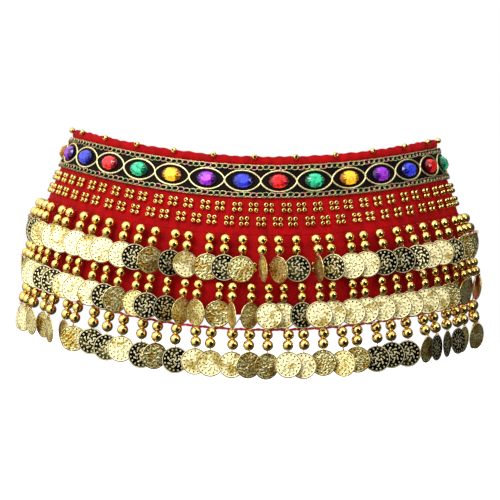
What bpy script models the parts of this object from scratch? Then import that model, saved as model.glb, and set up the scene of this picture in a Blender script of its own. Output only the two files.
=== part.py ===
"""Belly dance hip scarf, worn: a flared velvet band closed at the back, with a jewelled ribbon round its top
and three rows of strands, each of two beads and a coin, across the front and sides.

Units are metres, +Z is up and the front faces -Y. The origin is the middle of the waist opening, level with
the top edge at the sides. "turn" is the angle round the band, 0 at the front and positive to the wearer's
left (+X). "down" is measured from the top edge, "out" away from the cloth's outer face.
"""

import math

import bmesh
import bpy
import numpy as np
from mathutils import Vector

# Form of the worn band
TOP_HALF_WIDTH = 0.146
FLARE = 0.032
FLARE_DROP = 0.130
FLARE_POWER = 1.1
DEPTH_SHARE = 0.723
WAIST_DIP = 0.0207
SIDE_LIFT = 0.007
SIDE_SKEW = 0.0025
SEAM_TURN = math.radians(104)
SEAM_GAP = 0.0003

# Velvet wall, its rolled top edge and the lap that closes it at the back
VELVET = 0.0015
ROLL = 0.0011
ROLL_HEIGHT = 0.006
HEM = 0.122
LAP = 0.020
LAP_LIFT = 0.0036
LAP_EASE = 0.035
LAP_MARGIN = 0.013
PART_GAP = 0.0003
TAPE = {"inset": 0.004, "thick": 0.0012}

# Jewelled ribbon
RIBBON = {"top": 0.0065, "bottom": 0.0322, "thick": 0.001}
GEM = {"length": 0.0162, "height": 0.0114, "thick": 0.0042, "table": 0.55, "sides": 12}
GEM_PITCH = 0.0279
GEM_START = -0.0087
GEM_RUN = (-15, 14)
GEM_COLOURS = (
    ("blue", (0.03, 0.06, 0.55)),
    ("red", (0.75, 0.02, 0.03)),
    ("green", (0.03, 0.45, 0.25)),
    ("yellow", (0.95, 0.55, 0.02)),
    ("purple", (0.28, 0.04, 0.55)),
)

# Rows of strands. "stitch" is the lower edge of the strip they hang from; "turns" and "tilts" have a letter
# for each coin, from the wearer's right to the left.
ROWS = (
    {"name": "coins_row_1", "stitch": 0.0607, "upper": 0.0645, "lower": 0.0722, "coin": 0.0863,
     "bead": 0.0076, "pitch": 0.0132, "phase": 0.0,
     "turns": "FFFFFFFFFFFFFlllFFFERFErFFFFrFFFFFFFFF",
     "tilts": "ggdddgbbbbbbdgdbgdgggdgdbbdddbbdgggggg"},
    {"name": "coins_row_2", "stitch": 0.0974, "upper": 0.1011, "lower": 0.1082, "coin": 0.1223,
     "bead": 0.0070, "pitch": 0.0126, "phase": 2.0,
     "turns": "FFFFFFFFFFFFlrFlLRFELFFlFFFFFFFFFFlllllFF",
     "tilts": "ggggbbddbbbdggddgggggbbdbbbbbbbbbgggggggg"},
    {"name": "coins_row_3", "stitch": 0.1325, "upper": 0.1369, "lower": 0.1449, "coin": 0.1595,
     "bead": 0.0080, "pitch": 0.0140, "phase": 4.0,
     "turns": "FFFFrrRRFFFFFlFFFFllFFFrFFFFLLLllFFFF",
     "tilts": "ggbbgggggddbdgdbbbggbbgggdddgdddggggg"},
)
TURN_ANGLES = {"F": 0.0, "l": -24.0, "r": 24.0, "L": -48.0, "R": 48.0, "E": 72.0}
TILT_ANGLES = {"b": 8.0, "d": 0.0, "g": -5.0}
FACING = math.radians(30)
SPACING_SWAY = 0.0012
GOLDEN = 2.4
COIN = {"radius": 0.0103, "thick": 0.0007, "gap": 0.0005}
COIN_CLEAR = 0.0021
COIN_TRIES = [(share, 0.0011 * step) for share in (1.0, 0.8, 0.6, 0.4, 0.2, 0.0) for step in range(7)]
STRIP = {"height": 0.0018, "thick": 0.0008, "out": 0.0005, "root": 0.0014}
NET = {"rail": 0.0012, "out": -0.0011, "line": 0.0014}
NECK = 0.0007
BEAD_SQUARE = 0.75
BEAD_LEAN = (0.25, 0.65)
COIN_CHORDS = (-0.83, -0.36, 0.36, 0.86)

# The unit ring's arc length against turn, from which places round the band are read
RING_TURNS = np.linspace(-1.2 * math.pi, 1.2 * math.pi, 2401)
_steps = np.hypot(np.cos(RING_TURNS), DEPTH_SHARE * np.sin(RING_TURNS))
RING_ARCS = np.concatenate([[0.0], np.cumsum((_steps[1:] + _steps[:-1]) / 2 * np.diff(RING_TURNS))])
RING_ARCS -= np.interp(0.0, RING_TURNS, RING_ARCS)


def half_width(down):
    """The band's half width at this distance below its top edge."""
    share = min(max(down, 0.0) / FLARE_DROP, 1.0)
    return TOP_HALF_WIDTH + FLARE * math.sin(share * math.pi / 2) ** FLARE_POWER


def turn_at(arc, down):
    """The turn that lies this far round the band from the front, measured at this height."""
    return float(np.interp(arc / half_width(down), RING_ARCS, RING_TURNS))


def lap_lift(turn):
    """How far the right back stands out, where it lies over the left back."""
    full = math.pi - (LAP + LAP_MARGIN) / TOP_HALF_WIDTH
    ease = LAP_EASE / TOP_HALF_WIDTH
    share = min(max((-turn - full + ease) / ease, 0.0), 1.0)
    return LAP_LIFT * share * share * (3 - 2 * share)


def base_point(turn, down):
    """A point of the cloth's outer face, before any lap."""
    wide = half_width(down)
    lift = (SIDE_LIFT - SIDE_SKEW * math.sin(turn)) * min(down, HEM) / HEM * math.sin(turn) ** 2
    height = -down - WAIST_DIP * math.cos(turn) ** 2 + lift
    return Vector((wide * math.sin(turn), -wide * DEPTH_SHARE * math.cos(turn), height))


def outward(turn, down):
    """The direction away from the cloth's outer face."""
    small = 1e-4
    across = base_point(turn + small, down) - base_point(turn - small, down)
    along = base_point(turn, down + small) - base_point(turn, down - small)
    normal = along.cross(across).normalized()
    return normal if normal.dot(level_out(turn)) > 0 else -normal


def level_out(turn):
    """The horizontal direction away from the band."""
    return Vector((DEPTH_SHARE * math.sin(turn), -math.cos(turn), 0.0)).normalized()


def on_band(turn, down, out=0.0):
    """A point of the worn band, this far out of the cloth's outer face."""
    return base_point(turn, down) + outward(turn, down) * (out + lap_lift(turn))


def material(name, colour, roughness, metallic=0.0):
    made = bpy.data.materials.new(name)
    made.use_nodes = True
    shader = made.node_tree.nodes["Principled BSDF"]
    shader.inputs["Base Color"].default_value = (*colour, 1.0)
    shader.inputs["Roughness"].default_value = roughness
    shader.inputs["Metallic"].default_value = metallic
    return made


def add_object(name, mesh, finish, collection):
    made = bpy.data.objects.new(name, mesh)
    mesh.materials.append(finish)
    collection.objects.link(made)
    return made


def evenly(start, end, step):
    """Values from start to end, in equal steps no longer than this."""
    return [float(v) for v in np.linspace(start, end, math.ceil(abs(end - start) / step) + 1)]


def sheet(turns, downs, out, kept=lambda column, row: True):
    """An open sheet at this distance from the cloth's outer face, as a bmesh."""
    bm = bmesh.new()
    grid = [[bm.verts.new(on_band(t, d, out)) for d in downs] for t in turns]
    for i in range(len(turns) - 1):
        for j in range(len(downs) - 1):
            if kept(i, j):
                bm.faces.new((grid[i][j], grid[i][j + 1], grid[i + 1][j + 1], grid[i + 1][j]))
    loose = [v for v in bm.verts if not v.link_faces]
    bmesh.ops.delete(bm, geom=loose, context="VERTS")
    return bm


def finished(bm, name):
    bm.normal_update()
    bmesh.ops.recalc_face_normals(bm, faces=bm.faces)
    if bm.calc_volume(signed=True) < 0:
        bmesh.ops.reverse_faces(bm, faces=bm.faces)
    mesh = bpy.data.meshes.new(name)
    bm.to_mesh(mesh)
    bm.free()
    return mesh


def shell(name, turns, downs, out, thick, finish, collection, weights=None):
    """A wall of cloth that grows outwards from its plain inner sheet."""
    bm = sheet(turns, downs, out)
    mesh = bpy.data.meshes.new(name)
    bm.to_mesh(mesh)
    bm.free()
    made = add_object(name, mesh, finish, collection)
    solid = made.modifiers.new("Wall", "SOLIDIFY")
    solid.thickness = thick
    solid.offset = 1.0
    if weights:
        group = made.vertex_groups.new(name="Thickness")
        for index in range(len(mesh.vertices)):
            group.add([index], weights[index % len(downs)], "REPLACE")
        solid.vertex_group = group.name
    return made


def velvet_panel(name, start, end, finish, collection):
    """One cut piece of velvet, with its top edge turned over into a roll."""
    downs = [0.0, ROLL_HEIGHT * 0.25, ROLL_HEIGHT * 0.75, ROLL_HEIGHT] + body_downs()
    crest = VELVET + ROLL
    flat = VELVET / crest
    weights = [flat, 1.0, 1.0, flat] + [flat] * (len(downs) - 4)
    return shell(name, panel_turns(start, end), downs, -VELVET, crest, finish, collection, weights)


def panel_turns(start, end):
    return evenly(start, end, math.radians(4.4))


def body_downs():
    """The heights of the wall's sections, from the ribbon's lower edge to the hem."""
    return evenly(RIBBON["bottom"], HEM, 0.023)


def ribbon_turns(panels):
    """The columns of all the panels under the ribbon, so that its facets follow theirs."""
    return sorted({t for start, end in panels for t in panel_turns(start, end)})


def gem_stones(collection):
    """Oval stones along the ribbon, in a repeat of five colours."""
    down = (RIBBON["top"] + RIBBON["bottom"]) / 2
    finishes = [material(f"gem_{name}", colour, 0.05) for name, colour in GEM_COLOURS]
    for number in range(GEM_RUN[0], GEM_RUN[1] + 1):
        turn = turn_at(GEM_START + GEM_PITCH * number, down)
        bm = bmesh.new()
        bmesh.ops.create_cone(bm, cap_ends=True, segments=GEM["sides"], depth=1.0,
                              radius1=0.5, radius2=0.5 * GEM["table"])
        reach = GEM["length"] / 2 / TOP_HALF_WIDTH
        along = (on_band(turn + reach, down) - on_band(turn - reach, down)).normalized()
        fall = on_band(turn, RIBBON["bottom"]) - on_band(turn, RIBBON["top"])
        flat = fall.cross(along).normalized()
        up = flat.cross(along)
        foot = on_band(turn, down, RIBBON["thick"] + 2 * PART_GAP)
        for vert in bm.verts:
            x, y, z = vert.co
            wide = along * (x * GEM["length"]) + up * (y * GEM["height"])
            vert.co = foot + wide + flat * ((z + 0.5) * GEM["thick"])
        finish = finishes[number % len(finishes)]
        mesh = finished(bm, f"gem_{number - GEM_RUN[0] + 1:02d}")
        add_object(mesh.name, mesh, finish, collection)


def cloth_slope(down):
    """The lean of the cloth from the vertical at this height, as an angle."""
    small = 1e-3
    return math.atan2(half_width(down + small) - half_width(down - small), 2 * small)


def discs_meet(one, other, radius, gap):
    """Whether two coins of this radius come nearer than the gap. A coin is its centre and its normal."""
    for shift in (-gap, 0.0, gap):
        centre = other[0] + other[1] * shift
        line = one[1].cross(other[1])
        between = centre - one[0]
        if line.length < 1e-4:
            if abs(between.dot(one[1])) < gap and between.length < 2 * radius:
                return True
            continue
        line.normalize()
        in_one = one[1].cross(line)
        in_other = other[1].cross(line)
        reach_one = between.dot(other[1]) / in_one.dot(other[1])
        reach_other = -between.dot(one[1]) / in_other.dot(one[1])
        if abs(reach_one) >= radius or abs(reach_other) >= radius:
            continue
        half_one = math.sqrt(radius**2 - reach_one**2)
        half_other = math.sqrt(radius**2 - reach_other**2)
        if abs(between.dot(line)) < half_one + half_other + gap:
            return True
    return False


def coin_pose(row, turn, yaw, tilt, extra):
    """A coin's centre, its sideways direction and its downward direction. It swings a little towards
    the front."""
    slope = cloth_slope(row["coin"])
    level = level_out(turn)
    yaw += FACING * math.sin(2 * math.atan2(level.x, -level.y))
    need = COIN_CLEAR + COIN["radius"] * (abs(math.sin(yaw)) + abs(math.sin(slope - tilt)))
    out = max(need, row["bead"] / 2 + PART_GAP) + extra
    along = Vector((-level.y, level.x, 0.0))
    side = along * math.cos(yaw) + level * math.sin(yaw)
    face = level * math.cos(yaw) - along * math.sin(yaw)
    fall = Vector((0.0, 0.0, -math.cos(tilt))) + face * math.sin(tilt)
    return base_point(turn, row["coin"]) + level * out, side, fall


def hang_coins(row):
    """The turn of each strand and the pose of its coin. A coin that would touch one of the two before it
    hangs farther out, and then less turned."""
    hung = []
    count = len(row["turns"])
    for number, (turned, tilted) in enumerate(zip(row["turns"], row["tilts"])):
        sway = SPACING_SWAY * math.sin(GOLDEN * number + row["phase"])
        turn = turn_at((number - (count - 1) / 2) * row["pitch"] + sway, row["stitch"])
        yaw = math.radians(TURN_ANGLES[turned])
        tilt = math.radians(TILT_ANGLES[tilted])
        near = [(pose[0], pose[1].cross(pose[2])) for _, pose in hung[-2:]]
        for share, extra in COIN_TRIES:
            pose = coin_pose(row, turn, yaw * share, tilt * share, extra)
            disc = (pose[0], pose[1].cross(pose[2]))
            apart = COIN["thick"] + COIN["gap"]
            if not any(discs_meet(disc, other, COIN["radius"], apart) for other in near):
                break
        hung.append((turn, pose))
    return hung


def strand_rings(row, turn, pose):
    """The sections down one strand: centre, sideways and outward directions, half width, half depth."""
    level = level_out(turn)
    along = Vector((-level.y, level.x, 0.0))
    radius = row["bead"] / 2
    seat = radius + PART_GAP if row["stitch"] < HEM else radius - VELVET
    reach = (pose[0] - base_point(turn, row["coin"])).dot(level)
    rings = []
    for bead, lean in ((row["upper"], BEAD_LEAN[0]), (row["lower"], BEAD_LEAN[1])):
        centre = base_point(turn, bead) + level * (seat + (reach - seat) * lean)
        half = radius * BEAD_SQUARE
        for rise in (0.5, -0.5):
            rings.append((centre + Vector((0, 0, rise * radius)), along, level, half, half))
        neck = centre - Vector((0, 0, radius))
        rings.append((neck, along, level, NECK, NECK))
    centre, side, fall = pose
    face = side.cross(fall)
    face = face if face.dot(level) > 0 else -face
    rings[-1] = (neck, (along + side).normalized(), (level + face).normalized(), NECK, NECK)
    for chord in COIN_CHORDS:
        half = COIN["radius"] * math.sqrt(1 - chord * chord)
        rings.append((centre + fall * (chord * COIN["radius"]), side, face, half, COIN["thick"] / 2))
    return rings


def grow_strand(bm, root, rings):
    """Extrudes the root face ring by ring, keeping each corner on its own side."""
    middle = root.calc_center_median()
    _, along, level, _, _ = rings[0]
    corners = [(math.copysign(1, (v.co - middle).dot(along)), math.copysign(1, (v.co - middle).dot(level)))
               for v in root.verts]
    face = root
    for centre, side, out, half_wide, half_deep in rings:
        face = bmesh.ops.extrude_discrete_faces(bm, faces=[face])["faces"][0]
        for vert, (across, away) in zip(face.verts, corners):
            vert.co = centre + side * (across * half_wide) + out * (away * half_deep)


def coin_row(row, finish, collection):
    """A row of strands with their roots in one narrow strip, on the cloth or below its hem as a net."""
    hung = hang_coins(row)
    netted = row["stitch"] > HEM
    root = STRIP["root"] / 2 / half_width(row["stitch"])
    turns = []
    for turn, _ in hung:
        wide = root / max(abs(math.cos(turn)), DEPTH_SHARE)
        turns += [turn - wide, turn + wide]
    if netted:
        downs = [HEM + PART_GAP, HEM + PART_GAP + NET["rail"], row["stitch"] - NET["line"], row["stitch"]]
        bm = sheet(turns, downs, NET["out"], lambda column, line: line != 1 or column % 2 == 0)
        middle = NET["out"] + STRIP["thick"] / 2
    else:
        downs = [row["stitch"] - STRIP["height"], row["stitch"]]
        bm = sheet(turns, downs, STRIP["out"])
        middle = STRIP["out"] + STRIP["thick"] / 2
    bmesh.ops.recalc_face_normals(bm, faces=bm.faces)
    if bm.faces[:][0].normal.dot(level_out(turns[0])) > 0:
        bmesh.ops.reverse_faces(bm, faces=bm.faces)
    bmesh.ops.solidify(bm, geom=bm.faces[:], thickness=STRIP["thick"])
    bmesh.ops.recalc_face_normals(bm, faces=bm.faces)
    for turn, pose in hung:
        place = on_band(turn, row["stitch"], middle)
        foot = min(bm.faces, key=lambda f: (f.calc_center_median() - place).length)
        grow_strand(bm, foot, strand_rings(row, turn, pose))
    mesh = finished(bm, row["name"])
    add_object(row["name"], mesh, finish, collection)


def build():
    for old in list(bpy.data.objects):
        bpy.data.objects.remove(old)
    scarf = bpy.data.collections.new("hip_scarf")
    bpy.context.scene.collection.children.link(scarf)
    velvet = material("velvet", (0.55, 0.005, 0.01), 0.85)
    jacquard = material("jacquard", (0.03, 0.03, 0.025), 0.6)
    fastener = material("fastener", (0.35, 0.01, 0.02), 0.9)
    gold = material("gold", (0.83, 0.6, 0.2), 0.2, 1.0)

    seam = SEAM_GAP / 2 / (DEPTH_SHARE * TOP_HALF_WIDTH)
    end = math.pi + LAP / TOP_HALF_WIDTH
    panels = {
        "back_right": (-end, -SEAM_TURN - seam),
        "front": (-SEAM_TURN + seam, SEAM_TURN - seam),
        "back_left": (SEAM_TURN + seam, end),
    }
    for name, (start, stop) in panels.items():
        velvet_panel(name, start, stop, velvet, scarf)
    ribbon_edges = [RIBBON["top"], RIBBON["bottom"]]
    shell("ribbon", ribbon_turns(panels.values()), ribbon_edges, PART_GAP, RIBBON["thick"], jacquard, scarf)
    gem_stones(scarf)
    inset = TAPE["inset"] / TOP_HALF_WIDTH
    inner = panels["back_left"]
    under_lap = [t for t in panel_turns(*inner) if t > 2 * math.pi - end + inset]
    tape_turns = under_lap[:-1] + [end - inset]
    shell("fastener", tape_turns, body_downs()[1:-1], PART_GAP, TAPE["thick"], fastener, scarf)
    for row in ROWS:
        coin_row(row, gold, scarf)


build()
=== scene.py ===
# %% [markdown]
# # A belly dance hip scarf
# A flared band of red velvet is worn round the hips and closed at the back. Below its rolled top edge lies a
# jewelled ribbon, and three rows of strands, each with two round beads and a coin, jingle across the front.
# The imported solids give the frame, and each piece here takes its place from the same sizes in metres.

# %% Load the frame
import math

import bmesh
import bpy
import numpy as np
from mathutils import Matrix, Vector


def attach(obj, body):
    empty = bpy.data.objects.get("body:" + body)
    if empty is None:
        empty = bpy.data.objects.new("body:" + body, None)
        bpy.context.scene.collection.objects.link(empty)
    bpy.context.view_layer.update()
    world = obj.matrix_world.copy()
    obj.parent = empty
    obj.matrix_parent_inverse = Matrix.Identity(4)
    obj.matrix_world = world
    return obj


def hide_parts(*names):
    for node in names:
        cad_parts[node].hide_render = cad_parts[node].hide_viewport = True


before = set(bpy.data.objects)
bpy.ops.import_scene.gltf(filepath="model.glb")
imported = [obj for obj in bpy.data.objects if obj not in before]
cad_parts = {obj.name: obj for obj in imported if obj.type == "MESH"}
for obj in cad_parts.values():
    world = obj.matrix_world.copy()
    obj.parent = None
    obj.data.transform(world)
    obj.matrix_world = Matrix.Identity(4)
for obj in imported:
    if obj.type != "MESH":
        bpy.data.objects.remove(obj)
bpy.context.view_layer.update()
print("nodes in the frame:", len(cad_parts))

# %% [markdown]
# ## The worn form
# The band is an oval ring that flares below the waist, and its top edge dips at the front and the back. One
# function gives any point of the cloth from three numbers: the turn round the band, the distance down from
# the top edge, and the distance out of the cloth's face. Every sewn piece then follows the cloth by itself.

# %% Sizes of the worn form
TOP_HALF_WIDTH = 0.146
FLARE = 0.032
FLARE_DROP = 0.130
FLARE_POWER = 1.1
DEPTH_SHARE = 0.723
WAIST_DIP = 0.0207
SIDE_LIFT = 0.007
SIDE_SKEW = 0.0025
SEAM_TURN = math.radians(104)
SEAM_GAP = 0.0003
VELVET = 0.0015
ROLL = 0.0011
ROLL_HEIGHT = 0.006
HEM = 0.122
LAP = 0.020
LAP_LIFT = 0.0036
LAP_EASE = 0.035
LAP_MARGIN = 0.013
PART_GAP = 0.0003
RING_TURNS = np.linspace(-1.2 * math.pi, 1.2 * math.pi, 2401)
ring_speeds = np.hypot(np.cos(RING_TURNS), DEPTH_SHARE * np.sin(RING_TURNS))
ring_lengths = (ring_speeds[1:] + ring_speeds[:-1]) / 2 * np.diff(RING_TURNS)
RING_ARCS = np.concatenate([[0.0], np.cumsum(ring_lengths)])
RING_ARCS -= np.interp(0.0, RING_TURNS, RING_ARCS)
waist = 2 * TOP_HALF_WIDTH * np.interp(math.pi, RING_TURNS, RING_ARCS)
print("top edge round the waist, m:", round(waist, 3))


# %% Points of the worn form
def half_width(down):
    """The band's half width at this distance below its top edge."""
    share = min(max(down, 0.0) / FLARE_DROP, 1.0)
    return TOP_HALF_WIDTH + FLARE * math.sin(share * math.pi / 2) ** FLARE_POWER


def turn_at(arc, down):
    """The turn that lies this far round the band from the front, measured at this height."""
    return float(np.interp(arc / half_width(down), RING_ARCS, RING_TURNS))


def arc_at(turn, down):
    """The distance round the band from the front to this turn."""
    return float(np.interp(turn, RING_TURNS, RING_ARCS)) * half_width(down)


def lap_lift(turn):
    """How far the right back stands out, where it lies over the left back."""
    full = math.pi - (LAP + LAP_MARGIN) / TOP_HALF_WIDTH
    ease = LAP_EASE / TOP_HALF_WIDTH
    share = min(max((-turn - full + ease) / ease, 0.0), 1.0)
    return LAP_LIFT * share * share * (3 - 2 * share)


def base_point(turn, down):
    """A point of the cloth's outer face, before any lap."""
    wide = half_width(down)
    lift = (SIDE_LIFT - SIDE_SKEW * math.sin(turn)) * min(down, HEM) / HEM * math.sin(turn) ** 2
    height = -down - WAIST_DIP * math.cos(turn) ** 2 + lift
    return Vector((wide * math.sin(turn), -wide * DEPTH_SHARE * math.cos(turn), height))


def level_out(turn):
    """The horizontal direction away from the band."""
    return Vector((DEPTH_SHARE * math.sin(turn), -math.cos(turn), 0.0)).normalized()


def outward(turn, down):
    """The direction away from the cloth's outer face."""
    small = 1e-4
    across = base_point(turn + small, down) - base_point(turn - small, down)
    along = base_point(turn, down + small) - base_point(turn, down - small)
    normal = along.cross(across).normalized()
    return normal if normal.dot(level_out(turn)) > 0 else -normal


def on_band(turn, down, out=0.0):
    """A point of the worn band, this far out of the cloth's outer face."""
    return base_point(turn, down) + outward(turn, down) * (out + lap_lift(turn))


print("hem round the hips, m:", round(2 * arc_at(math.pi, HEM), 3))

# %% [markdown]
# ## Camera
# The photograph was taken from far away, level with the middle of the scarf, so the oval ring shows no
# inside. A long lens 2.2 m away gives the same flat perspective. The scarf hangs a little askew, which a
# small roll of the camera matches.

# %% Camera
CAMERA = {"away": 2.2, "height": -0.0928, "side": -0.0016, "lens": 194.6, "roll": math.radians(-1.6)}
camera_data = bpy.data.cameras.new("camera")
camera_data.lens = CAMERA["lens"]
camera_data.sensor_width = 36.0
camera = bpy.data.objects.new("camera", camera_data)
camera.location = (CAMERA["side"], -CAMERA["away"], CAMERA["height"])
camera.rotation_euler = (math.pi / 2, CAMERA["roll"], 0.0)
bpy.context.scene.collection.objects.link(camera)
bpy.context.scene.camera = camera
print("camera at, m:", [round(v, 3) for v in camera.location])

# %% [markdown]
# ## Light and background
# Shiny beads show what is round them, so the room matters more than the lamps. It is bright towards a window
# side at the upper left, grows darker away from it, and has a dark patch where the camera stands, which gives
# each bead its dark spot. Only the eye itself sees plain white. Two broad lamps then model the cloth.

# %% Colours and nodes
WHITE = (1.0, 1.0, 1.0, 1.0)


def tone(code):
    """A linear colour from an sRGB hex value."""
    channels = [int(code[i:i + 2], 16) / 255 for i in (1, 3, 5)]
    linear = [c / 12.92 if c <= 0.04045 else ((c + 0.055) / 1.055) ** 2.4 for c in channels]
    return (*linear, 1.0)


def add_node(tree, kind, settings=None, links=None):
    """Adds a node, sets its properties and sockets, and links its inputs."""
    made = tree.nodes.new(kind)
    for key, value in (settings or {}).items():
        if isinstance(key, int) or key in made.inputs:
            made.inputs[key].default_value = value
        else:
            setattr(made, key, value)
    for key, source in (links or {}).items():
        tree.links.new(source, made.inputs[key])
    return made


print("middle grey turned linear:", round(tone("#808080")[0], 3))

# %% World
# The strength of the dark patch and of the room's dark and bright ends, then how far the patch and the fade
# reach, each as the cosine of an angle from its side.
ROOM = {"dark": 0.03, "low": 0.06, "high": 2.24,
        "inner": math.cos(math.radians(28)), "outer": math.cos(math.radians(46)),
        "start": -0.25, "full": 0.95}
CAMERA_SIDE = Vector((0.33, -0.93, -0.12)).normalized()
WINDOW_SIDE = Vector((-0.5, -0.45, 0.75)).normalized()
world = bpy.data.worlds.new("studio")
bpy.context.scene.world = world
world.use_nodes = True
sky = world.node_tree
sky.nodes.clear()
place = add_node(sky, "ShaderNodeTexCoord")
towards = [add_node(sky, "ShaderNodeVectorMath", {"operation": "DOT_PRODUCT", 1: tuple(side)},
                    {0: place.outputs["Generated"]}) for side in (CAMERA_SIDE, WINDOW_SIDE)]
patch = add_node(sky, "ShaderNodeMapRange",
                 {"interpolation_type": "SMOOTHSTEP", "From Min": ROOM["inner"], "From Max": ROOM["outer"],
                  "To Min": ROOM["dark"], "To Max": 1.0}, {"Value": towards[0].outputs["Value"]})
fade = add_node(sky, "ShaderNodeMapRange",
                {"From Min": ROOM["start"], "From Max": ROOM["full"], "To Min": ROOM["low"],
                 "To Max": ROOM["high"]}, {"Value": towards[1].outputs["Value"]})
lit = add_node(sky, "ShaderNodeMath", {"operation": "MULTIPLY"}, {0: patch.outputs[0], 1: fade.outputs[0]})
rays = add_node(sky, "ShaderNodeLightPath")
level = add_node(sky, "ShaderNodeMath", {"operation": "MAXIMUM"},
                 {0: lit.outputs[0], 1: rays.outputs["Is Camera Ray"]})
glow = add_node(sky, "ShaderNodeBackground", {"Color": WHITE}, {"Strength": level.outputs[0]})
add_node(sky, "ShaderNodeOutputWorld", links={"Surface": glow.outputs[0]})
bpy.context.scene.view_settings.view_transform = "Standard"
print("nodes in the world:", len(sky.nodes))

# %% Lamps
# Each lamp has its place, its size in metres and its power in watts, and looks at the middle of the scarf.
LAMPS = {
    "lamp_above": ((-0.7, -1.4, 1.2), 0.6, 17.0),
    "lamp_right": ((1.4, -1.1, 0.5), 0.5, 5.5),
}
MIDDLE = Vector((0.0, 0.0, -0.09))
for name, (spot, size, power) in LAMPS.items():
    data = bpy.data.lights.new(name, "AREA")
    data.size = size
    data.energy = power
    made = bpy.data.objects.new(name, data)
    made.location = spot
    made.rotation_euler = (MIDDLE - Vector(spot)).to_track_quat("-Z", "Y").to_euler()
    bpy.context.scene.collection.objects.link(made)
print("lamps:", len(LAMPS))

# %% [markdown]
# ## Floor
# A plain pale floor lies well below, and the beads don't mirror it, so that their lower edges stay dark.

# %% Floor
FLOOR = {"height": -0.55, "half": 12.0}
floor_data = bpy.data.meshes.new("floor")
bm = bmesh.new()
bmesh.ops.create_grid(bm, x_segments=4, y_segments=4, size=FLOOR["half"])
bm.to_mesh(floor_data)
bm.free()
floor = bpy.data.objects.new("floor", floor_data)
floor.location.z = FLOOR["height"]
bpy.context.scene.collection.objects.link(floor)
floor_finish = bpy.data.materials.new("floor")
floor_finish.use_nodes = True
paint = floor_finish.node_tree.nodes["Principled BSDF"]
paint.inputs["Base Color"].default_value = tone("#F5F5F5")
paint.inputs["Roughness"].default_value = 1.0
paint.inputs["Emission Color"].default_value = WHITE
paint.inputs["Emission Strength"].default_value = 0.35
floor_data.materials.append(floor_finish)
floor.visible_glossy = False
print("floor half width, m:", FLOOR["half"])


# %% [markdown]
# ## Finishes
# Each finish starts from what the real one is: nylon velvet, cotton thread, satin, plated metal and acrylic.
# An image could colour them, but noise sized in real units shows the same from near and far and needs no
# file. One helper makes the material, one clouds its colour and one roughens its face.

# %% A finish and its pattern
def finish(name, colour, roughness, metallic=0.0, **sockets):
    """A new material with its tree and its shader."""
    made = bpy.data.materials.new(name)
    made.use_nodes = True
    shader = made.node_tree.nodes["Principled BSDF"]
    shader.inputs["Base Color"].default_value = tone(colour)
    shader.inputs["Roughness"].default_value = roughness
    shader.inputs["Metallic"].default_value = metallic
    for key, value in sockets.items():
        shader.inputs[key.replace("_", " ")].default_value = value
    return made, made.node_tree, shader


def mottle(tree, shader, size, dark, light, low=0.3, high=0.7, stretch=(1.0, 1.0, 1.0)):
    """Clouds of two colours over the surface, about this size in metres."""
    where = add_node(tree, "ShaderNodeTexCoord")
    mapped = add_node(tree, "ShaderNodeMapping", {"Scale": stretch}, {"Vector": where.outputs["Object"]})
    cloud = add_node(tree, "ShaderNodeTexNoise", {"Scale": 1 / size, "Detail": 3.0},
                     {"Vector": mapped.outputs[0]})
    share = add_node(tree, "ShaderNodeMapRange", {"From Min": low, "From Max": high},
                     {"Value": cloud.outputs["Fac"]})
    mixed = add_node(tree, "ShaderNodeMix", {"data_type": "RGBA", 6: tone(dark), 7: tone(light)},
                     {0: share.outputs[0]})
    tree.links.new(mixed.outputs[2], shader.inputs["Base Color"])


def grain(tree, shader, size, height):
    """Fine uneven relief, about this size across and this high, both in metres."""
    where = add_node(tree, "ShaderNodeTexCoord")
    rough = add_node(tree, "ShaderNodeTexNoise", {"Scale": 1 / size, "Detail": 2.0},
                     {"Vector": where.outputs["Object"]})
    bump = add_node(tree, "ShaderNodeBump", {"Strength": 1.0, "Distance": height},
                    {"Height": rough.outputs["Fac"]})
    tree.links.new(bump.outputs[0], shader.inputs["Normal"])


# %% [markdown]
# ## Cloth and thread
# Velvet is a short dense pile. It swallows light where the eye meets the tips and glows a little at grazing
# angles, so it is rough, hardly shines, and has a thin sheen. Thread and tape are duller and coarser.

# %% Velvet and threads
# Velvet: short nylon pile on a knitted ground. The pile is 0.5 mm, drawn at 1.1 mm so that it shows.
velvet, tree, shader = finish("velvet", "#A0060A", 0.82, Sheen_Weight=0.05, Sheen_Roughness=0.35)
shader.inputs["Sheen Tint"].default_value = tone("#FF3030")
shader.inputs["Specular IOR Level"].default_value = 0.08
mottle(tree, shader, 0.007, "#760204", "#A40407", 0.25, 0.75, (1.0, 1.0, 0.6))
grain(tree, shader, 0.0011, 0.0009)

# Cotton crochet thread: dull and twisted, a little pinker than the velvet.
thread, tree, shader = finish("crochet_thread", "#B80E1A", 0.75, Sheen_Weight=0.1)
mottle(tree, shader, 0.003, "#8C0610", "#C81420")
grain(tree, shader, 0.0007, 0.0003)

# Hook-and-loop tape: woven nylon with a fuzzy face.
tape, tree, shader = finish("loop_tape", "#7A0A14", 0.9)
mottle(tree, shader, 0.002, "#5E0610", "#8C1420")
grain(tree, shader, 0.0008, 0.0005)

# Black woven satin ground of the ribbon: a fine diagonal rib, drawn coarse, every 1.2 mm along the ribbon. A
# diagonal wave comes back after 0.628 over its scale.
RIB = 0.0012
satin, tree, shader = finish("satin_ground", "#17110F", 0.5)
shader.inputs["Specular IOR Level"].default_value = 0.06
mottle(tree, shader, 0.006, "#050303", "#140A09")
where = add_node(tree, "ShaderNodeTexCoord")
rib = add_node(tree, "ShaderNodeTexWave", {"bands_direction": "DIAGONAL", "Scale": 0.628 / RIB},
               {"Vector": where.outputs["UV"]})
bump = add_node(tree, "ShaderNodeBump", {"Strength": 0.8, "Distance": 0.0002}, {"Height": rib.outputs["Fac"]})
tree.links.new(bump.outputs[0], shader.inputs["Normal"])
print("cloth finishes:", [made.name for made in (velvet, thread, tape, satin)])


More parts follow.
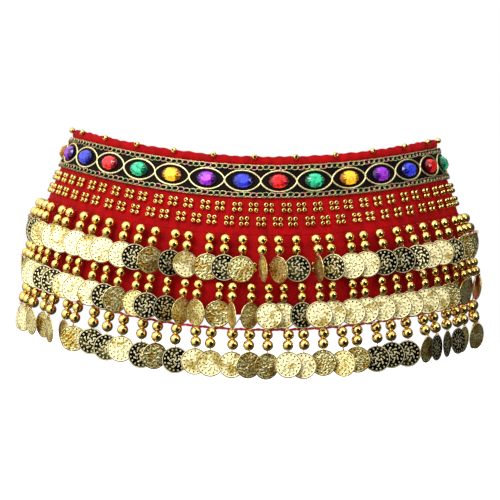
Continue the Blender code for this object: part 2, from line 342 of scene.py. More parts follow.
# %% [markdown]
# ## Metals
# Beads are moulded and gold plated, and coins are stamped from thin iron and plated too. A bead is as smooth
# as a mirror. A coin's face is uneven, so it glints in some places and is dark in others. Its colours also
# add painted reflections on the fields and a painted highlight or painted shade on the relief.

# %% Metals
def metal(name, dark, light, roughness, patch, dent, depth, spread=(0.35, 0.65)):
    """A plated metal with clouds of tone and shallow dents, sized in metres."""
    made, tree, shader = finish(name, light, roughness, 1.0)
    mottle(tree, shader, patch, dark, light, *spread)
    grain(tree, shader, dent, depth)
    return made


# Gold-plated moulded beads: mirror smooth, so the room shows in them.
bead_gold = metal("bead_gold", "#DEBA5E", "#ECD080", 0.07, 0.004, 0.002, 0.00001)
# Painted shade inside the seed beads' holes.
bead_hole_painted_shade = metal("bead_hole_painted_shade", "#1C1608", "#3A2E14", 0.4, 0.002, 0.001, 0.00005)
# Stamped coins: thin plated iron, in three painted tones for how each coin reflects the room. Cream scatters
# the light and is a painted bright reflection, dark is a painted reflection of the dark side of the room, and
# the more crinkled amber lies between, with small glints. The relief of a dark coin has a painted highlight,
# and on the others painted shade draws its finer lines.
coin_cream = metal("coin_cream", "#BBA558", "#FFF3BC", 0.52, 0.009, 0.0016, 0.0004, (0.36, 0.47))
coin_amber = metal("coin_amber", "#D4AC4C", "#FFF2AA", 0.34, 0.008, 0.0014, 0.0010, (0.36, 0.54))
coin_dark = metal("coin_dark", "#1E1C0E", "#A2965C", 0.25, 0.009, 0.0016, 0.0002, (0.52, 0.70))
# Painted highlight on the raised relief of the dark coins.
coin_painted_highlight = metal("coin_painted_highlight", "#F2E2A2", "#FFF8D0", 0.50, 0.003, 0.0012, 0.0002)
# Painted shade on the finer raised lines of the cream and amber coins.
coin_painted_shade = metal("coin_painted_shade", "#30290F", "#6A5E30", 0.35, 0.003, 0.0012, 0.0002)
# Metal threads of the ribbon: fine foil wound on yarn, so the shine is broken up.
cord_gold = metal("cord_gold", "#CDBB74", "#FCF0BE", 0.45, 0.0012, 0.0006, 0.0001)
foil_gold = metal("foil_gold", "#8E8250", "#D8CC94", 0.45, 0.0012, 0.0006, 0.0001)
foil_rose = metal("foil_rose", "#8C5C50", "#D8AAA0", 0.45, 0.0012, 0.0006, 0.0001)
foil_green = metal("foil_green", "#5E6E4C", "#B8C094", 0.45, 0.0012, 0.0006, 0.0001)
print("metals:", sum(made.name.startswith(("bead", "coin", "cord", "foil")) for made in bpy.data.materials))

# %% [markdown]
# ## Acrylic stones
# The stones are moulded acrylic, glossy and faceted, with a foil behind that throws their colour back. Clear
# glass would need many light bounces, so a tinted, slightly metallic face under a clear coat stands for both.

# %% Acrylic stones
STONES = {
    # a shaded and a lit copy of each colour: the deep one painted as shade at the ends, the bright one in the
    # middle
    "blue": ("#0C1060", "#2A38D8"),
    "red": ("#600008", "#E81418"),
    "green": ("#044A30", "#2CC890"),
    "yellow": ("#8A4C00", "#FFC41A"),
    "purple": ("#2C064C", "#9420C8"),
}
stone_finishes = {}
for name, (deep, bright) in STONES.items():
    pair = []
    for part, high in (("face", bright), ("end", deep)):
        made, tree, shader = finish(f"acrylic_{name}_{part}", high, 0.14, 0.3, Coat_Weight=0.3, IOR=1.49)
        mottle(tree, shader, 0.003, deep, high, 0.30, 0.52)
        pair.append(made)
    stone_finishes[name] = pair
print("finishes:", len(bpy.data.materials))


# %% [markdown]
# ## Building blocks
# Beads, coins, rings and cords repeat by the hundred. Making each as an object would be slow, so a heap
# gathers their points and faces and turns them into one mesh with a few materials.

# %% Heap of shapes
class Heap:
    """Shapes gathered into one mesh."""

    def __init__(self):
        self.points = []
        self.faces = []
        self.kinds = []
        self.total = 0

    def add(self, points, faces, kind=0):
        """Adds a shape. Its kind is the number of its material, or one such number for each face."""
        self.points.append(np.asarray(points, float))
        start = self.total
        self.faces += [tuple(start + i for i in face) for face in faces]
        self.kinds += list(kind) if isinstance(kind, list) else [kind] * len(faces)
        self.total += len(points)

    def piece(self, name, finishes, slot, smooth=True):
        """Makes one object of all shapes and gives it to the frame."""
        mesh = bpy.data.meshes.new(name)
        mesh.from_pydata(np.concatenate(self.points).tolist(), [], self.faces)
        for made in finishes:
            mesh.materials.append(made)
        mesh.polygons.foreach_set("material_index", self.kinds)
        mesh.polygons.foreach_set("use_smooth", [smooth] * len(self.faces))
        mesh.update()
        made = bpy.data.objects.new(name, mesh)
        bpy.context.scene.collection.objects.link(made)
        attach(made, "root")
        triangles = sum(len(face) - 2 for face in self.faces)
        print(f"{name}: {triangles} triangles")
        return made


# %% Places, balls and cords
def placed(points, centre, x_axis, y_axis, z_axis, scale=1.0):
    """A template's points, moved to a place with these directions."""
    turned = np.array([tuple(x_axis), tuple(y_axis), tuple(z_axis)])
    return np.asarray(points) * scale @ turned + np.array(tuple(centre))


def ball(around, along):
    """A sphere of radius 1."""
    bm = bmesh.new()
    bmesh.ops.create_uvsphere(bm, u_segments=around, v_segments=along, radius=1.0)
    points = np.array([tuple(v.co) for v in bm.verts])
    faces = [tuple(v.index for v in face.verts) for face in bm.faces]
    bm.free()
    return points, faces


def tube(path, ups, radius, sides, closed=False):
    """A round cord along these points, with the direction of its top at each."""
    path = np.array([tuple(p) for p in path])
    ups = np.array([tuple(u) for u in ups])
    ahead = np.roll(path, -1, 0)
    behind = np.roll(path, 1, 0)
    if not closed:
        ahead[-1] = path[-1]
        behind[0] = path[0]
    tangents = ahead - behind
    tangents /= np.linalg.norm(tangents, axis=1)[:, None]
    sideways = np.cross(tangents, ups)
    sideways /= np.linalg.norm(sideways, axis=1)[:, None]
    tops = np.cross(sideways, tangents)
    angles = np.arange(sides) * 2 * math.pi / sides
    rings = (path[:, None] + radius * (np.cos(angles)[None, :, None] * sideways[:, None]
             + np.sin(angles)[None, :, None] * tops[:, None]))
    faces = []
    for i in range(len(path) if closed else len(path) - 1):
        j = (i + 1) % len(path)
        for k in range(sides):
            m = (k + 1) % sides
            faces.append((i * sides + k, i * sides + m, j * sides + m, j * sides + k))
    if not closed:
        faces.append(tuple(range(sides))[::-1])
        faces.append(tuple((len(path) - 1) * sides + k for k in range(sides)))
    return rings.reshape(-1, 3), faces


def laid(route, sides, radius, closed=False):
    """A cord laid on the band through points of turn, down and out."""
    path = [on_band(*point) for point in route]
    ups = [outward(turn, down) for turn, down, _ in route]
    return tube(path, ups, radius, sides, closed)


# %% [markdown]
# ## Velvet band
# The maker cuts a front and two backs and turns the top edge over into a soft roll. A worn band is never
# quite flat: the pull between the hips makes shallow troughs, and each sewn strand draws a dimple. The
# creases are listed in millimetres and the shell is built through them, outside over a plain inside.

# %% Creases of the velvet
CREASES = (
    # turn in degrees, top, bottom, depth and width in millimetres; a ridge has a negative depth
    (-97, 34, 96, 0.7, 9), (-84, 60, 122, -0.8, 8), (-71, 33, 80, 0.6, 7), (-58, 72, 122, 0.9, 10),
    (-46, 34, 70, -0.6, 8), (-33, 80, 122, 0.7, 9), (-24, 34, 62, 0.5, 5.5), (-11, 64, 122, -0.7, 9),
    (-3, 90, 122, 0.8, 7), (9, 34, 74, 0.5, 8), (21, 70, 122, 0.8, 10), (34, 36, 88, -0.6, 7),
    (47, 76, 122, 0.7, 8), (60, 33, 84, 0.6, 9), (76, 58, 122, -0.9, 9), (90, 38, 110, 0.8, 8),
    (-168, 40, 120, 0.7, 11), (-152, 60, 122, -0.9, 9), (-137, 34, 100, 1.0, 12), (-121, 52, 122, 0.8, 9),
    (112, 36, 112, 0.9, 10), (128, 58, 122, -0.8, 11), (144, 34, 96, 0.9, 9), (160, 70, 122, 0.8, 12),
)
# The ribbon's lower seam puckers the velvet, which lies flat behind the ribbon above.
PUCKER = {"pitch": 0.0075, "depth": 0.00035, "down": 0.0345, "width": 0.0022, "flat_above": 0.033}
# Folds bunch along the rolled edge and raise it.
CREST = {"pitch": 0.0092, "height": 0.0011}
RIPPLE = {"pitch": 0.011, "share": 0.45}
CREASE_MARGIN = 0.004
print("creases:", len(CREASES))


def bell(value, width):
    """A soft hump of height 1 round zero."""
    return math.exp(-(value / width) ** 2)


def crest(turn, down):
    """How far the rolled edge rises here, where its folds bunch between the stitches."""
    if down >= ROLL_HEIGHT:
        return 0.0
    wave = arc_at(turn, 0) * 2 * math.pi / CREST["pitch"]
    bunch = 0.5 + 0.3 * math.sin(wave + 1.5 * math.sin(turn * 7)) + 0.2 * math.sin(wave * 0.37 + 2.0)
    return CREST["height"] * bunch * (1 - down / ROLL_HEIGHT)


def velvet_swell(turn, down):
    """How far the velvet's face stands out here."""
    if down < ROLL_HEIGHT:
        puff = math.sin(math.pi * down / ROLL_HEIGHT) ** 0.8 if down > 0 else 0.0
        wave = arc_at(turn, 0) * 2 * math.pi / RIPPLE["pitch"] + 2 * math.sin(turn * 9)
        return ROLL * puff * (1 + RIPPLE["share"] * math.sin(wave))
    if down <= PUCKER["flat_above"]:
        return 0.0
    swell = 0.0
    for at, *sizes in CREASES:
        top, bottom, depth, width = [size / 1000 for size in sizes]
        across = (turn - math.radians(at)) * half_width(down)
        if abs(across) > 2.5 * width or not top - CREASE_MARGIN < down < bottom + CREASE_MARGIN:
            continue
        middle = (top + bottom) / 2
        reach = (bottom - top) / 2
        ends = max(0.0, 1 - ((down - middle) / reach) ** 2)
        swell -= depth * bell(across, width / 1.6) * ends
    edge = bell(down - PUCKER["down"], PUCKER["width"])
    swell -= PUCKER["depth"] * edge * (1 + math.sin(arc_at(turn, down) * 2 * math.pi / PUCKER["pitch"]))
    return swell


# %% Cloth shell
def cloth_shell(name, turns, downs, outer, inner, finish_made, slot, nodes):
    """A closed shell of cloth on the band, with its flat size in metres as UVs."""
    lines = len(downs)
    faces = []
    points = [on_band(t, d - crest(t, d), outer(t, d)) for t in turns for d in downs]
    points += [on_band(t, d - crest(t, d), inner) for t in turns for d in downs]
    half = len(turns) * lines
    for i in range(len(turns) - 1):
        for j in range(lines - 1):
            a = i * lines + j
            b = a + lines
            faces.append((a, a + 1, b + 1, b))
            faces.append((half + a, half + b, half + b + 1, half + a + 1))
    last = (len(turns) - 1) * lines
    for i in range(len(turns) - 1):
        a = i * lines
        b = a + lines
        faces.append((a, b, half + b, half + a))
        faces.append((a + lines - 1, half + a + lines - 1, half + b + lines - 1, b + lines - 1))
    for j in range(lines - 1):
        faces.append((j, half + j, half + j + 1, j + 1))
        faces.append((last + j, last + j + 1, half + last + j + 1, half + last + j))
    heap = Heap()
    heap.add([tuple(p) for p in points], faces)
    made = heap.piece(name, [finish_made], slot)
    middle = downs[len(downs) // 2]
    flat = [(arc_at(t, middle), -d) for t in turns for d in downs] * 2
    layer = made.data.uv_layers.new(name="Cut")
    corners = np.empty(len(made.data.loops), int)
    made.data.loops.foreach_get("vertex_index", corners)
    layer.data.foreach_set("uv", np.array(flat)[corners].ravel())
    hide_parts(*nodes)
    return made


# %% Flat sizes
def steps(start, end, step):
    """Even places from start to end, no farther apart than this."""
    return [float(v) for v in np.linspace(start, end, math.ceil(abs(end - start) / step) + 1)]


# %% Velvet panels
seam = SEAM_GAP / 2 / (DEPTH_SHARE * TOP_HALF_WIDTH)
band_end = math.pi + LAP / TOP_HALF_WIDTH
panels = {
    "back_right": (-band_end, -SEAM_TURN - seam),
    "front": (-SEAM_TURN + seam, SEAM_TURN - seam),
    "back_left": (SEAM_TURN + seam, band_end),
}
VELVET_STEP = {"turn": 0.0125, "roll": 0.0009, "below_roll": 0.002, "down": 0.0024}
velvet_downs = steps(0, ROLL_HEIGHT, VELVET_STEP["roll"])
velvet_downs += steps(ROLL_HEIGHT + VELVET_STEP["below_roll"], HEM, VELVET_STEP["down"])
for name, (start, stop) in panels.items():
    turns = steps(start, stop, VELVET_STEP["turn"])
    made = cloth_shell(f"velvet_{name}", turns, velvet_downs, velvet_swell, -VELVET, velvet, "velvet", [name])

# %% [markdown]
# ## Closure
# The backs lap by about 40 mm and hook-and-loop tape holds them. It hides between the layers, so a plain
# shell with a fuzzy finish is enough.

# %% Closure tape
TAPE = {"top": 0.0547, "bottom": 0.0996, "start_inset": 0.0064, "inset": 0.004, "thick": 0.0012,
        "turn_step": 0.03, "down_step": 0.004}
tape_turns = steps(2 * math.pi - band_end + TAPE["start_inset"] / TOP_HALF_WIDTH,
                   band_end - TAPE["inset"] / TOP_HALF_WIDTH, TAPE["turn_step"])
tape_downs = steps(TAPE["top"], TAPE["bottom"], TAPE["down_step"])
made = cloth_shell("closure_tape", tape_turns, tape_downs, lambda t, d: PART_GAP + TAPE["thick"], PART_GAP,
                   tape, "fastener", ["fastener"])

# %% [markdown]
# ## Jewelled ribbon
# The real ribbon is woven black satin with gold cord couched in ovals round the stones and a chain of
# small rings along both edges. The ground is a thin shell. The cord and rings stand up from it, so they are
# real tubes and not a picture: light catches their tops and the ground stays dark between them.

# %% Ribbon ground
RIBBON = {"top": 0.0065, "bottom": 0.0322, "thick": 0.001, "turn_step": 0.02, "down_step": 0.0032}
ribbon_turns = steps(-band_end, band_end, RIBBON["turn_step"])
ribbon_downs = steps(RIBBON["top"], RIBBON["bottom"], RIBBON["down_step"])
RIBBON_FACE = PART_GAP + RIBBON["thick"]
made = cloth_shell("ribbon_ground", ribbon_turns, ribbon_downs, lambda t, d: RIBBON_FACE, PART_GAP, satin,
                   "jacquard", ["ribbon"])

# %% Gold cord round the stones
GEM = {"length": 0.0162, "height": 0.0114, "thick": 0.0042}
GEM_PITCH = 0.0279
GEM_START = -0.0087
GEM_RUN = (-15, 14)
GEM_ORDER = ("blue", "red", "green", "yellow", "purple")
# A loop's pointed ends come from two powers, which lie between an oval and a lens shape.
LOOP = {"half": 0.0141, "height": 0.0081, "cord": 0.00076, "points": 40, "ends": 2.1, "crown": 0.68}
ribbon_middle = (RIBBON["top"] + RIBBON["bottom"]) / 2
heap = Heap()
for number in range(GEM_RUN[0], GEM_RUN[1] + 1):
    route = []
    for step in range(LOOP["points"]):
        angle = 2 * math.pi * step / LOOP["points"]
        rise = math.copysign((1 - abs(math.cos(angle)) ** LOOP["ends"]) ** LOOP["crown"], math.sin(angle))
        arc = GEM_START + GEM_PITCH * number + LOOP["half"] * math.cos(angle)
        down = ribbon_middle - LOOP["height"] * rise
        route.append((turn_at(arc, ribbon_middle), down, RIBBON_FACE + LOOP["cord"] * 0.6))
    heap.add(*laid(route, 8, LOOP["cord"], True))
heap.piece("ribbon_cords", [cord_gold], "gold")

# %% Chain borders
# Each ring leans, so that it lies under the one before it and over the next.
CHAIN = {"pitch": 0.0046, "half": 0.0027, "height": 0.0017, "thread": 0.00052, "inset": 0.0022,
         "points": 14, "waver": 0.0003, "lean": 0.8}
CHAIN_TONES = (0, 1, 0, 2)
SELVEDGE = {"inset": 0.0003, "out": 0.0001, "radius": 0.00035, "step": 0.005}
heap = Heap()
reach = arc_at(band_end, ribbon_middle) - CHAIN["half"] * 2
count = int(2 * reach / CHAIN["pitch"])
for line in (RIBBON["top"] + CHAIN["inset"], RIBBON["bottom"] - CHAIN["inset"]):
    for number in range(count):
        arc = -reach + (number + 0.5) * 2 * reach / count
        waver = CHAIN["waver"] * math.sin(number * 1.7)
        route = []
        for step in range(CHAIN["points"]):
            angle = 2 * math.pi * step / CHAIN["points"]
            down = line + waver - CHAIN["height"] * math.sin(angle)
            lift = RIBBON_FACE + CHAIN["thread"] * (1.0 + CHAIN["lean"] * math.cos(angle))
            route.append((turn_at(arc + CHAIN["half"] * math.cos(angle), ribbon_middle), down, lift))
        heap.add(*laid(route, 5, CHAIN["thread"], True), CHAIN_TONES[number % len(CHAIN_TONES)])
for line in (RIBBON["top"] + SELVEDGE["inset"], RIBBON["bottom"] - SELVEDGE["inset"]):
    route = [(turn_at(arc, ribbon_middle), line, RIBBON_FACE + SELVEDGE["out"])
             for arc in steps(-reach, reach, SELVEDGE["step"])]
    heap.add(*laid(route, 6, SELVEDGE["radius"]), 0)
heap.piece("ribbon_chains", [foil_gold, foil_rose, foil_green], "gold")

# %% [markdown]
# ## Stones
# An oval stone is moulded with a flat table, two rings of facets round it and a low upright edge. Flat
# shading keeps each facet a small mirror of its own, and the facets at both ends take the deeper colour as
# painted shade.

# %% Faceted oval stone
FACETS = (
    # share of the width, height in shares of the thickness, shift in half steps
    (1.00, 0.00, 0),
    (1.00, 0.28, 0),
    (0.82, 0.70, 1),
    (0.52, 1.00, 0),
)
SIDES = 12


def stone():
    """An oval stone of length and height 1, standing on its back."""
    points = []
    for share, height, shift in FACETS:
        for k in range(SIDES):
            angle = 2 * math.pi * (k + shift / 2) / SIDES
            points.append((share * math.cos(angle) / 2, share * math.sin(angle) / 2, height))
    faces = [tuple(range(SIDES))[::-1]]
    faces += [(k, (k + 1) % SIDES, SIDES + (k + 1) % SIDES, SIDES + k) for k in range(SIDES)]
    for ring in (1, 2):
        for k in range(SIDES):
            low, next_low = ring * SIDES + k, ring * SIDES + (k + 1) % SIDES
            high = (ring + 1) * SIDES + k
            if ring == 1:
                before = (ring + 1) * SIDES + (k - 1) % SIDES
                faces += [(low, next_low, high), (low, high, before)]
            else:
                after = (ring + 1) * SIDES + (k + 1) % SIDES
                faces += [(low, after, high), (low, next_low, after)]
    faces.append(tuple(3 * SIDES + k for k in range(SIDES)))
    return np.array(points), faces


# %% Stones on the ribbon
stone_points, stone_faces = stone()
STONE_ENDS = 0.30
# The facets towards both ends take the deep colour, painted shade.
stone_shaded_ends = [int(abs(stone_points[list(face), 0].mean()) > STONE_ENDS) for face in stone_faces]
heaps = {name: (Heap(), []) for name in GEM_ORDER}
for number in range(GEM_RUN[0], GEM_RUN[1] + 1):
    turn = turn_at(GEM_START + GEM_PITCH * number, ribbon_middle)
    reach = GEM["length"] / 2 / TOP_HALF_WIDTH
    along = (on_band(turn + reach, ribbon_middle) - on_band(turn - reach, ribbon_middle)).normalized()
    fall = on_band(turn, RIBBON["bottom"]) - on_band(turn, RIBBON["top"])
    flat_out = fall.cross(along).normalized()
    up = flat_out.cross(along)
    foot = on_band(turn, ribbon_middle, RIBBON["thick"] + 2 * PART_GAP)
    sized = stone_points * np.array([GEM["length"], GEM["height"], GEM["thick"]])
    heap, nodes = heaps[GEM_ORDER[number % len(GEM_ORDER)]]
    heap.add(placed(sized, foot, along, up, flat_out), stone_faces, stone_shaded_ends)
    nodes.append(f"gem_{number - GEM_RUN[0] + 1:02d}")
for name, (heap, nodes) in heaps.items():
    made = heap.piece(f"stones_{name}", stone_finishes[name], f"gem_{name}", smooth=False)
    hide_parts(*nodes)


# %% [markdown]
# ## Strands
# Each strand is a thread with two plated beads and a stamped coin. The coins hang free and overlap, so each
# has its own turn and tilt. A search moves it out, and then eases its turn, until it cuts through neither of
# the two before it. A simulation would do this too, but the photograph's turns would be lost.

# %% Rows of strands
# Heights are distances below the top edge, and loose is how far a coin may hang below its place. Letters of
# turns: F faces outward, l and r turn left and right, L and R turn more, and E stands almost edge on. Letters
# of tilts, which also pick the coin's painted tone: b is cream, a painted bright reflection, g amber, and d
# dark, a painted reflection of the dark side of the room.
ROWS = (
    {"name": "coins_row_1", "stitch": 0.0607, "upper": 0.0645, "lower": 0.0722, "coin": 0.0863,
     "bead": 0.0076, "pitch": 0.0132, "phase": 0.0, "loose": 0.0008,
     "turns": "FFFFFFFFFFFFFlllFFFERFErFFFFrFFFFFFFFF",
     "tilts": "ggdddgbbbbbbdgdbgdgggdgdbbdddbbdgggggg"},
    {"name": "coins_row_2", "stitch": 0.0974, "upper": 0.1011, "lower": 0.1082, "coin": 0.1223,
     "bead": 0.0070, "pitch": 0.0126, "phase": 2.0, "loose": 0.0,
     "turns": "FFFFFFFFFFFFlrFlLRFELFFlFFFFFFFFFFlllllFF",
     "tilts": "ggggbbddbbbdggddgggggbbdbbbbbbbbbgggggggg"},
    {"name": "coins_row_3", "stitch": 0.1325, "upper": 0.1369, "lower": 0.1449, "coin": 0.1595,
     "bead": 0.0080, "pitch": 0.0140, "phase": 4.0, "loose": 0.0016,
     "turns": "FFFFrrRRFFFFFlFFFFllFFFrFFFFLLLllFFFF",
     "tilts": "ggbbgggggddbdgdbbbggbbgggdddgdddggggg"},
)
TURN_ANGLES = {"F": 0.0, "l": -24.0, "r": 24.0, "L": -48.0, "R": 48.0, "E": 72.0}
TILT_ANGLES = {"b": 8.0, "d": 0.0, "g": -5.0}
FACING = math.radians(30)
SPACING_SWAY = 0.0012
# About the golden angle: steps of it never fall into a pattern.
GOLDEN = 2.4
COIN = {"radius": 0.0103, "thick": 0.0007, "gap": 0.0005}
COIN_CLEAR = 0.0021
COIN_APART = COIN["thick"] + COIN["gap"]
TRY = {"shares": (1.0, 0.8, 0.6, 0.4, 0.2, 0.0), "step": 0.0011, "steps": 7}
COIN_TRIES = [(share, TRY["step"] * number) for share in TRY["shares"] for number in range(TRY["steps"])]
print("strands:", sum(len(row["turns"]) for row in ROWS))


# %% Where each coin hangs
def cloth_slope(down):
    """The lean of the cloth from the vertical at this height, as an angle."""
    small = 1e-3
    return math.atan2(half_width(down + small) - half_width(down - small), 2 * small)


def discs_meet(one, other, radius, gap):
    """Whether two coins of this radius come nearer than the gap. A coin is its centre and its normal."""
    for shift in (-gap, 0.0, gap):
        centre = other[0] + other[1] * shift
        line = one[1].cross(other[1])
        between = centre - one[0]
        if line.length < 1e-4:
            if abs(between.dot(one[1])) < gap and between.length < 2 * radius:
                return True
            continue
        line.normalize()
        in_one = one[1].cross(line)
        in_other = other[1].cross(line)
        reach_one = between.dot(other[1]) / in_one.dot(other[1])
        reach_other = -between.dot(one[1]) / in_other.dot(one[1])
        if abs(reach_one) >= radius or abs(reach_other) >= radius:
            continue
        half_one = math.sqrt(radius**2 - reach_one**2)
        half_other = math.sqrt(radius**2 - reach_other**2)
        if abs(between.dot(line)) < half_one + half_other + gap:
            return True
    return False


def coin_pose(row, turn, yaw, tilt, extra):
    """A coin's centre, its sideways direction and its downward direction. It swings a little towards
    the front."""
    slope = cloth_slope(row["coin"])
    level = level_out(turn)
    yaw += FACING * math.sin(2 * math.atan2(level.x, -level.y))
    need = COIN_CLEAR + COIN["radius"] * (abs(math.sin(yaw)) + abs(math.sin(slope - tilt)))
    out = max(need, row["bead"] / 2 + PART_GAP) + extra
    along = Vector((-level.y, level.x, 0.0))
    side = along * math.cos(yaw) + level * math.sin(yaw)
    face = level * math.cos(yaw) - along * math.sin(yaw)
    fall = Vector((0.0, 0.0, -math.cos(tilt))) + face * math.sin(tilt)
    return base_point(turn, row["coin"]) + level * out, side, fall


def hang_coins(row):
    """The turn of each strand and the pose of its coin."""
    hung = []
    count = len(row["turns"])
    for number, (turned, tilted) in enumerate(zip(row["turns"], row["tilts"])):
        sway = SPACING_SWAY * math.sin(GOLDEN * number + row["phase"])
        turn = turn_at((number - (count - 1) / 2) * row["pitch"] + sway, row["stitch"])
        yaw = math.radians(TURN_ANGLES[turned])
        tilt = math.radians(TILT_ANGLES[tilted])
        near = [(pose[0], pose[1].cross(pose[2])) for _, pose in hung[-2:]]
        for share, extra in COIN_TRIES:
            pose = coin_pose(row, turn, yaw * share, tilt * share, extra)
            disc = (pose[0], pose[1].cross(pose[2]))
            if not any(discs_meet(disc, other, COIN["radius"], COIN_APART) for other in near):
                break
        hung.append((turn, pose))
    return hung


# %% [markdown]
# ## Stamped coin
# A stamp strikes a thin round blank on both sides. The relief here is a raised rim, a ring of dots and a
# rosette of swirling arms. A bump map would lose it at the rim and in the glints, so the disc is a fan of
# small cells round its centre, and the raised cells stand up as real shape.

# %% Stamped coin
# The rings' radii and the stamp's sizes are in millimetres.
COIN_RINGS = (0.9, 1.8, 2.7, 3.6, 4.5, 5.4, 6.2, 6.7, 7.4, 8.6, 9.1, 9.5, 10.0, 10.3)
COIN_SEGMENTS = 48
STAMP = {"half": 0.18, "rise": 0.30, "dots": 7.4, "rim": 9.5, "inner": 3.6, "outer": 6.2}


def stamped(ring, segment, finest=0.5):
    """Whether the cell outside this ring is raised: a rim, a ring of dots, and a rosette of swirling arms."""
    radius = COIN_RINGS[ring]
    angle = 2 * math.pi * (segment + 0.5) / COIN_SEGMENTS
    if radius == STAMP["rim"]:
        return True
    if radius == STAMP["dots"]:
        return segment % 3 == 0
    if radius < STAMP["inner"]:
        return math.cos(4 * angle - 1.7 * radius) > finest
    if radius < STAMP["outer"]:
        return math.cos(8 * angle + 1.3 * radius) > finest
    return False


def coin_template():
    """A coin lying in the XY plane, alike on both sides, in metres. Each face says whether it is raised,
    and whether it is on the finer lines."""
    points = []
    count = len(COIN_RINGS) - 1
    for side in (1, -1):
        points.append((0.0, 0.0, side * (STAMP["half"] + STAMP["rise"])))
        for ring, radius in enumerate(COIN_RINGS):
            for k in range(COIN_SEGMENTS):
                cells = [stamped(r, m % COIN_SEGMENTS)
                         for r in (ring - 1, ring) if 0 <= r < count for m in (k - 1, k)]
                height = STAMP["half"] + STAMP["rise"] * sum(cells) / 4
                angle = 2 * math.pi * k / COIN_SEGMENTS
                points.append((radius * math.cos(angle), radius * math.sin(angle), side * height))
    faces = []
    raised = []
    half = 1 + len(COIN_RINGS) * COIN_SEGMENTS
    for start, flip in ((0, False), (half, True)):
        for k in range(COIN_SEGMENTS):
            m = (k + 1) % COIN_SEGMENTS
            found = [(start, start + 1 + k, start + 1 + m)]
            raised.append((True, False))
            for ring in range(count):
                a = start + 1 + ring * COIN_SEGMENTS
                b = a + COIN_SEGMENTS
                found.append((a + k, b + k, b + m, a + m))
                raised.append((stamped(ring, k), stamped(ring, k, 0.8)))
            faces += [face[::-1] if flip else face for face in found]
    edge = 1 + count * COIN_SEGMENTS
    for k in range(COIN_SEGMENTS):
        m = (k + 1) % COIN_SEGMENTS
        faces.append((edge + k, half + edge + k, half + edge + m, edge + m))
        raised.append((False, False))
    return np.array(points) / 1000, faces, raised


coin_points, coin_faces, coin_raised = coin_template()
print("one coin:", len(coin_faces), "faces")

# %% [markdown]
# ## Beads and coins in their rows
# Each row's beads lean out step by step from the cloth to the coin, as the thread pulls them, and sway a
# little. A small wire ring joins the coin to its thread.

# %% Rows of beads and coins
# A coin's field and relief as numbers in strand_finishes, and whether only the finer lines are drawn. The
# fields are painted reflections, and the relief is a painted highlight or painted shade.
COIN_KINDS = {"b": (1, 5, 1), "g": (2, 5, 1), "d": (3, 4, 0)}
coin_kinds = {key: [field if not raised[mask] else top for raised in coin_raised]
              for key, (field, top, mask) in COIN_KINDS.items()}
# The beads are drawn slightly larger than their solids, which have few sides.
BEAD_ROUND = 1.07
strand_finishes = [bead_gold, coin_cream, coin_amber, coin_dark, coin_painted_highlight, coin_painted_shade, thread]
JUMP_RING = {"radius": 0.0011, "wire": 0.00028, "points": 12}
THREAD = {"radius": 0.0004, "start": 0.0006}
NET_BACK = -0.0005
UPRIGHT = Vector((0.0, 0.0, 1.0))
bead_points, bead_faces = ball(20, 14)
BEAD_LEAN = (0.25, 0.65)
BEAD_SWAY = 0.0006
for row in ROWS:
    heap = Heap()
    netted = row["stitch"] > HEM
    radius = row["bead"] / 2
    seat = radius - VELVET if netted else radius + PART_GAP
    for number, ((turn, pose), tilted) in enumerate(zip(hang_coins(row), row["tilts"])):
        level_dir = level_out(turn)
        along = Vector((-level_dir.y, level_dir.x, 0.0))
        centre, side, fall = pose
        face = side.cross(fall)
        face = face if face.dot(level_dir) > 0 else -face
        upward = face.cross(side)
        route = [on_band(turn, row["stitch"] + THREAD["start"], NET_BACK if netted else 0.0)]
        reach = (centre - base_point(turn, row["coin"])).dot(level_dir)
        for down, lean in ((row["upper"], BEAD_LEAN[0]), (row["lower"], BEAD_LEAN[1])):
            middle = base_point(turn, down) + level_dir * (seat + (reach - seat) * lean)
            middle += along * BEAD_SWAY * math.sin(3.1 * number + 900 * down)
            bead = placed(bead_points, middle, along, level_dir, UPRIGHT, radius * BEAD_ROUND)
            heap.add(bead, bead_faces, 0)
            route.append(middle)
        centre = centre - upward * row["loose"] * (0.5 + 0.5 * math.sin(2.9 * number + row["phase"]))
        top = centre + upward * (COIN["radius"] + JUMP_RING["radius"] * 0.3)
        route.append(top)
        heap.add(*tube(route, [along] * len(route), THREAD["radius"], 5), 6)
        spin = GOLDEN * number
        hung = placed(coin_points, centre, side * math.cos(spin) + upward * math.sin(spin),
                      upward * math.cos(spin) - side * math.sin(spin), side.cross(upward))
        heap.add(hung, coin_faces, coin_kinds[tilted])
        circle = [top + (upward * math.sin(a) + face * math.cos(a)) * JUMP_RING["radius"]
                  for a in np.arange(JUMP_RING["points"]) * 2 * math.pi / JUMP_RING["points"]]
        heap.add(*tube(circle, [side] * JUMP_RING["points"], JUMP_RING["wire"], 5, True), 0)
    made = heap.piece(f"strands_{row['name'][-5:]}", strand_finishes, "gold")
    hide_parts(row["name"])

# %% [markdown]
# ## Crochet edging and stitch lines
# Below the hem a crocheted net carries the third row: thread zigzags from the hem to a twisted line, with a
# small bead at each upper turn. On the velvet a chain stitch holds the first two rows.

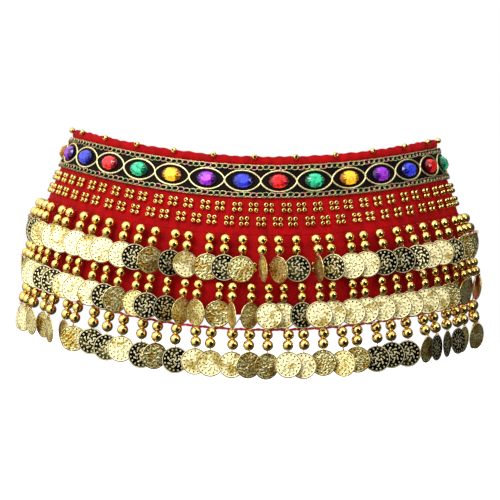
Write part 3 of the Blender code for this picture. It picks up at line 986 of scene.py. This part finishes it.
# %% Crochet edging
NET = {"line_down": 0.0016, "sag": 0.0012, "line": 0.00075, "thread": 0.00038, "hem_hold": 0.0006}
STITCH = {"sag": 0.0004, "line": 0.0002, "out": -0.0001}
TWIST = {"reach": 0.0004, "turn": 1.6, "steps": 6}
heap = Heap()
for row in ROWS:
    netted = row["stitch"] > HEM
    out = NET_BACK if netted else STITCH["out"]
    line = row["stitch"] + (NET["line_down"] if netted else 0.0)
    drop = NET["sag"] if netted else STITCH["sag"]
    places = [turn for turn, _ in hang_coins(row)]
    route = []
    for left, right in zip(places, places[1:]):
        for step in range(TWIST["steps"]):
            share = step / TWIST["steps"]
            sag = drop * math.sin(math.pi * share)
            route.append((left + (right - left) * share, line - sag, out))
    route.append((places[-1], line, out))
    for phase in (0.0, math.pi):
        angles = [i * TWIST["turn"] + phase for i in range(len(route))]
        twist = [(t, d + TWIST["reach"] * math.sin(a), o + TWIST["reach"] * math.cos(a))
                 for a, (t, d, o) in zip(angles, route)]
        heap.add(*laid(twist, 6, NET["line"] if netted else STITCH["line"]), 0 if netted else 1)
    if netted:
        for left, right in zip(places, places[1:]):
            middle = (left + right) / 2
            for foot in (left, right):
                climb = row["stitch"] - HEM - NET["hem_hold"]
                net = [(foot + (middle - foot) * s, row["stitch"] - climb * s, out)
                       for s in (0.0, 0.3, 0.6, 1.0)]
                heap.add(*laid(net, 5, NET["thread"]))
heap.piece("crochet_edging", [thread, velvet], "velvet")

# %% [markdown]
# ## Small beads
# Seed beads of 4 mm are sewn in squares of four, in rows that stagger. Each shows the dark spot of its
# hole, painted as shade. A few more sit along the rolled top edge, about 32 mm apart, and one at each upper
# turn of the net. A ring shape would cost many more faces, so a ball is dimpled at its poles, and the dimples
# are painted dark as the shade inside a hole.

# %% Seed beads
SEED = {"radius": 0.0020, "across": 0.0043, "up": 0.0042, "pitch": 0.0125, "sway": 0.0006, "lean": 0.00025,
        "seat": 0.75, "dimple": 0.2}
CLUSTERS = (
    # distance below the top edge, shift in pitches, reach to each side round the band, phase of the sway
    (0.0398, 0.0, 0.29, 2.824),
    (0.0507, 0.5, 0.29, 0.067),
    (0.0859, 0.0, 0.23, 0.331),
)
EDGE_SEED = {"pitch": 0.0316, "down": 0.0006, "out": 0.0012, "size": 1.15, "first": -13, "last": 12}
NET_SEED = {"down": 0.0026, "out": -0.0012, "size": 0.9}
seed_points, seed_faces = ball(10, 7)
poles = np.abs(seed_points[:, 2]) > 0.99
seed_points[poles, 2] *= SEED["dimple"]
# The faces round each pole take the painted shade of the hole.
seed_hole_shade = [int(bool(poles[list(face)].any())) for face in seed_faces]
heap = Heap()


def seed(turn, down, out=0.0, size=1.0):
    """Sews one seed bead on the cloth, with the shade of its hole painted on its dimples."""
    spot = on_band(turn, down, SEED["radius"] * SEED["seat"] * size + out)
    normal = outward(turn, down)
    along = Vector((math.cos(turn), DEPTH_SHARE * math.sin(turn), 0.0)).normalized()
    up = normal.cross(along)
    heap.add(placed(seed_points, spot, along, up, normal, SEED["radius"] * size), seed_faces, seed_hole_shade)


for centre_down, shift, reach, phase in CLUSTERS:
    half = int(reach / SEED["pitch"])
    for number in range(-half, half + 1):
        sway = SEED["sway"] * math.sin(number * GOLDEN + phase)
        arc = (number + shift) * SEED["pitch"] + sway
        lean = SEED["lean"] * math.sin(number * 1.3)
        for across in (-0.5, 0.5):
            for up in (-0.5, 0.5):
                down = centre_down - SEED["up"] * up + lean * across
                seed(turn_at(arc + SEED["across"] * across, centre_down), down)
for number in range(EDGE_SEED["first"], EDGE_SEED["last"] + 1):
    seed(turn_at(EDGE_SEED["pitch"] * number, 0), EDGE_SEED["down"], EDGE_SEED["out"], EDGE_SEED["size"])
places = [turn for turn, _ in hang_coins(ROWS[2])]
for left, right in zip(places, places[1:]):
    seed((left + right) / 2, HEM + NET_SEED["down"], NET_SEED["out"], NET_SEED["size"])
heap.piece("seed_beads", [bead_gold, bead_hole_painted_shade], "gold")
